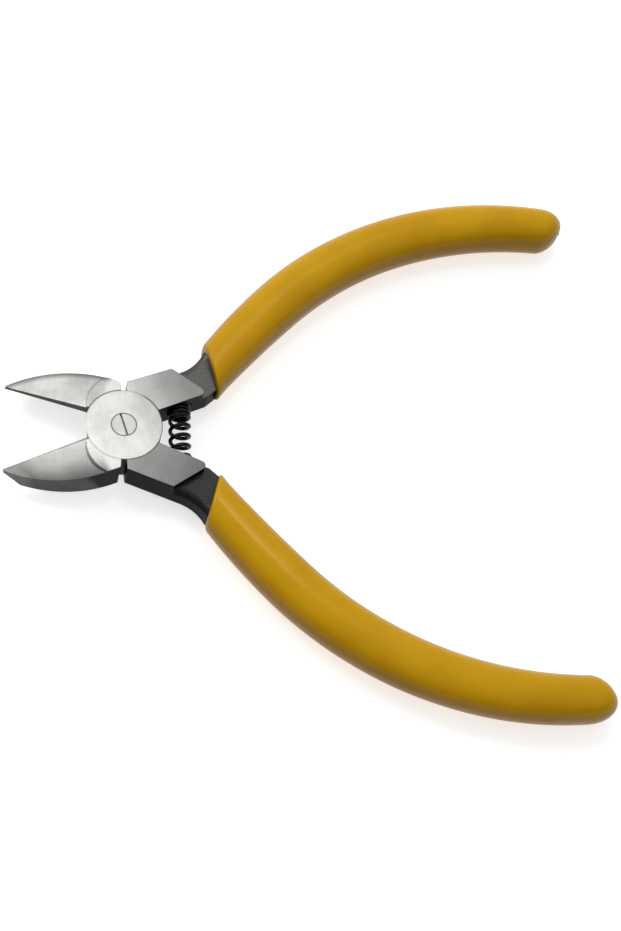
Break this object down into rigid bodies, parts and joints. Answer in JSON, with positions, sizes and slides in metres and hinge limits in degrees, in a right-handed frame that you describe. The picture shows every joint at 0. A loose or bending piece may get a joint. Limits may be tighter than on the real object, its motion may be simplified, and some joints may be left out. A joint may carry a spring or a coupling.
{
  "type": "flush cut pliers",
  "caption": "Small spring-opened side cutters with a screwed lap joint, slim bevelled jaws and long curved dipped grips, open at rest.",
  "frame": {"origin": "pivot axis at the lower cheek's flat face", "axes": "+Z along the pivot towards the screw's head, -X from the pivot between the open jaws, +X between the grips"},
  "size_m": [0.1105, 0.1094, 0.0092],
  "materials": {
    "forged_steel": "satin ground faces, black oxide between them",
    "screw_steel": "ground flush with the cheek",
    "spring_steel": "black oxide",
    "grip_vinyl": "soft gloss dipped vinyl"
  },
  "bodies": {
    "lower": {"bottom_half": "forged_steel", "pivot_screw": "screw_steel", "lower_grip": "grip_vinyl", "return_spring": "spring_steel"},
    "upper": {"top_half": "forged_steel", "upper_grip": "grip_vinyl"}
  },
  "joints": [
    {"name": "pivot", "type": "hinge", "parent": "lower", "child": "upper", "pos_m": [0, 0, 0.0032], "axis": [0, 0, 1], "range_deg": [-42, 7.5], "stiffness_Nm_per_rad": 0.1, "deforming": ["return_spring"]}
  ]
}
